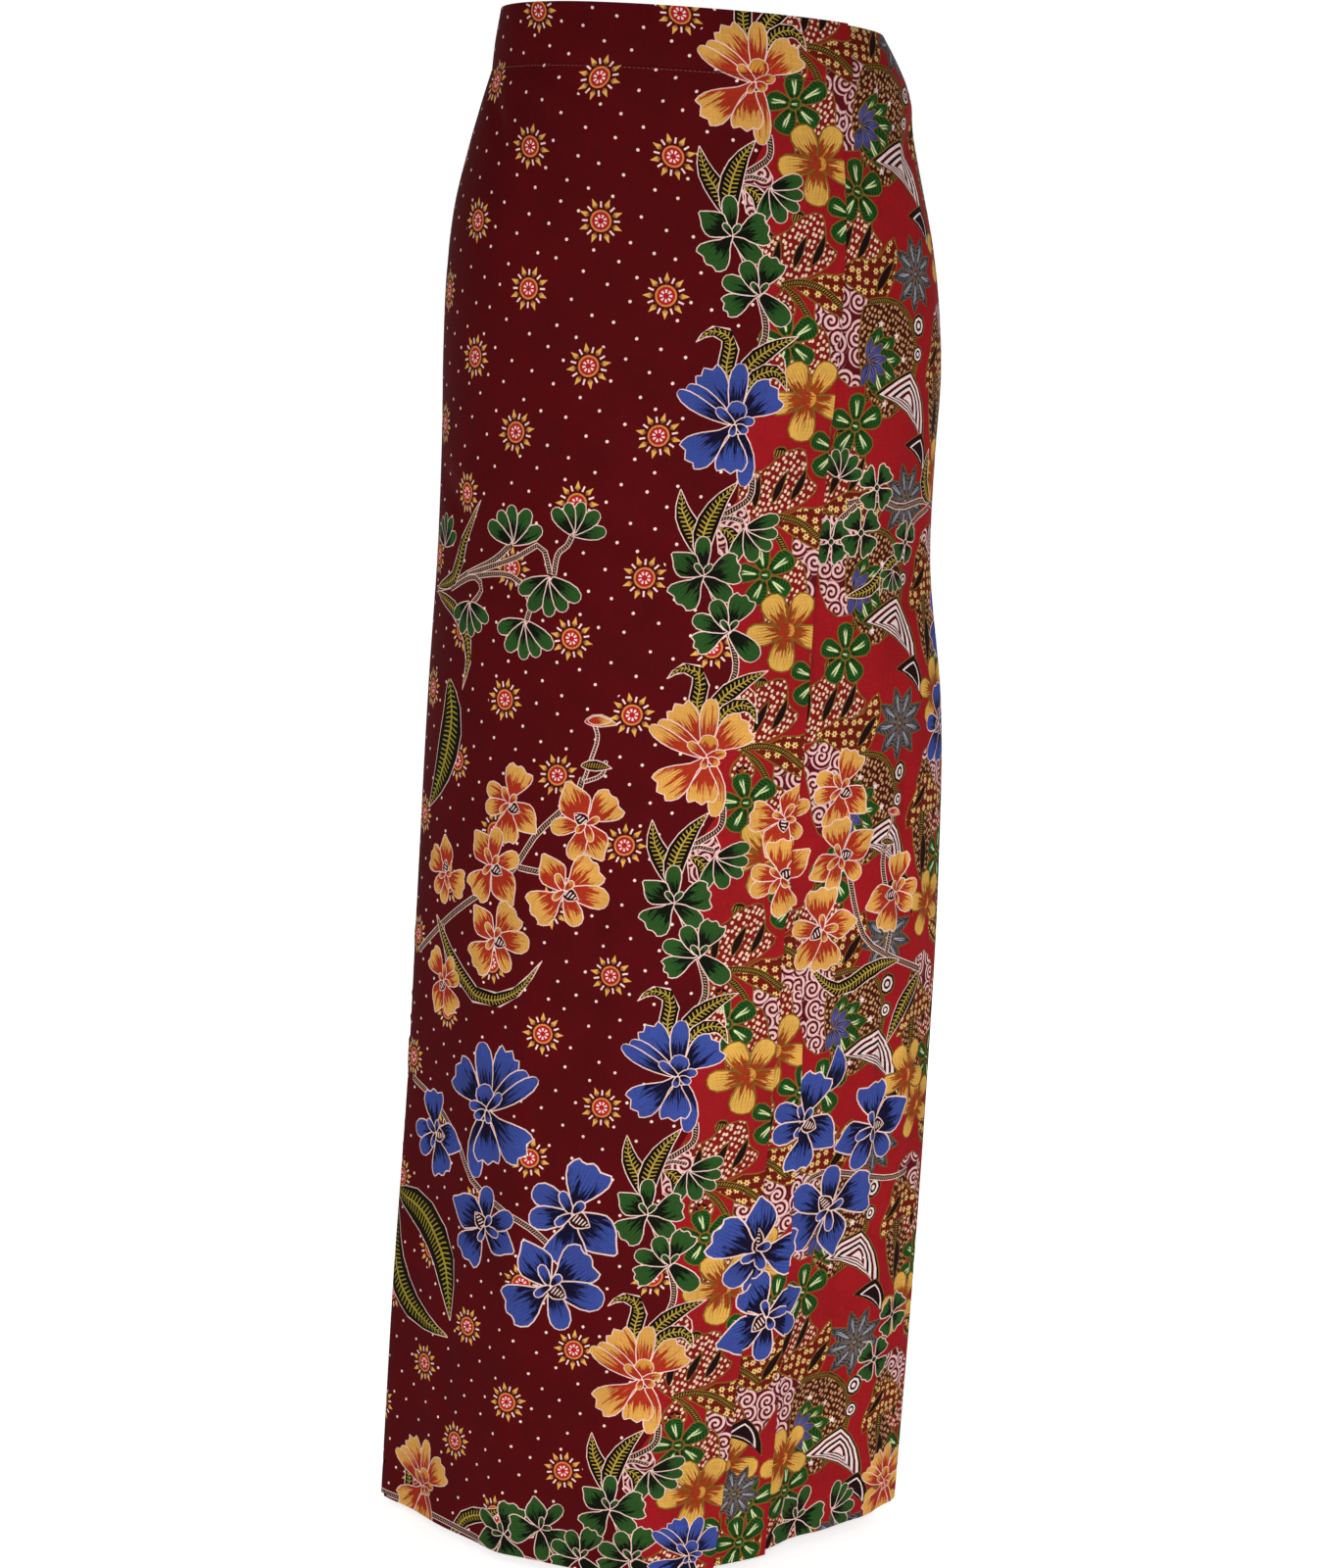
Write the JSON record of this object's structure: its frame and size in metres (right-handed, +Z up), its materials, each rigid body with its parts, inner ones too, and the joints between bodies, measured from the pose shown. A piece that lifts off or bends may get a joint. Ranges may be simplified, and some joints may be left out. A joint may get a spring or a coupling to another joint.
{
  "type": "wrap sarong skirt",
  "caption": "Long batik wrap skirt in its worn, hollow form: a dotted maroon front wraps over a pleat and a red under front, with a waistband and an open hem.",
  "frame": {"origin": "The middle of the waist opening, level with the band's top edge", "axes": "+Z up the wearer, -Y to the front, +X to the wearer's left"},
  "size_m": [0.3954, 0.2692, 1.0642],
  "materials": {
    "waistband_over": "printed cotton, maroon with small dots and sun flowers",
    "waistband_under": "printed cotton, red with paisleys in front and dotted maroon round the back",
    "front_wrap_panel": "printed cotton, dotted maroon with orchids and a red flowered edge",
    "pleat_underlay": "printed cotton, red with gold and green flowers",
    "under_panel": "printed cotton, red with paisleys and leaves",
    "back_panel": "printed cotton, dotted maroon with orchids"
  },
  "bodies": {
    "root": {"waistband_over": "waistband_over", "waistband_under": "waistband_under", "front_wrap_panel": "front_wrap_panel", "pleat_underlay": "pleat_underlay", "under_panel": "under_panel", "back_panel": "back_panel"}
  },
  "joints": []
}
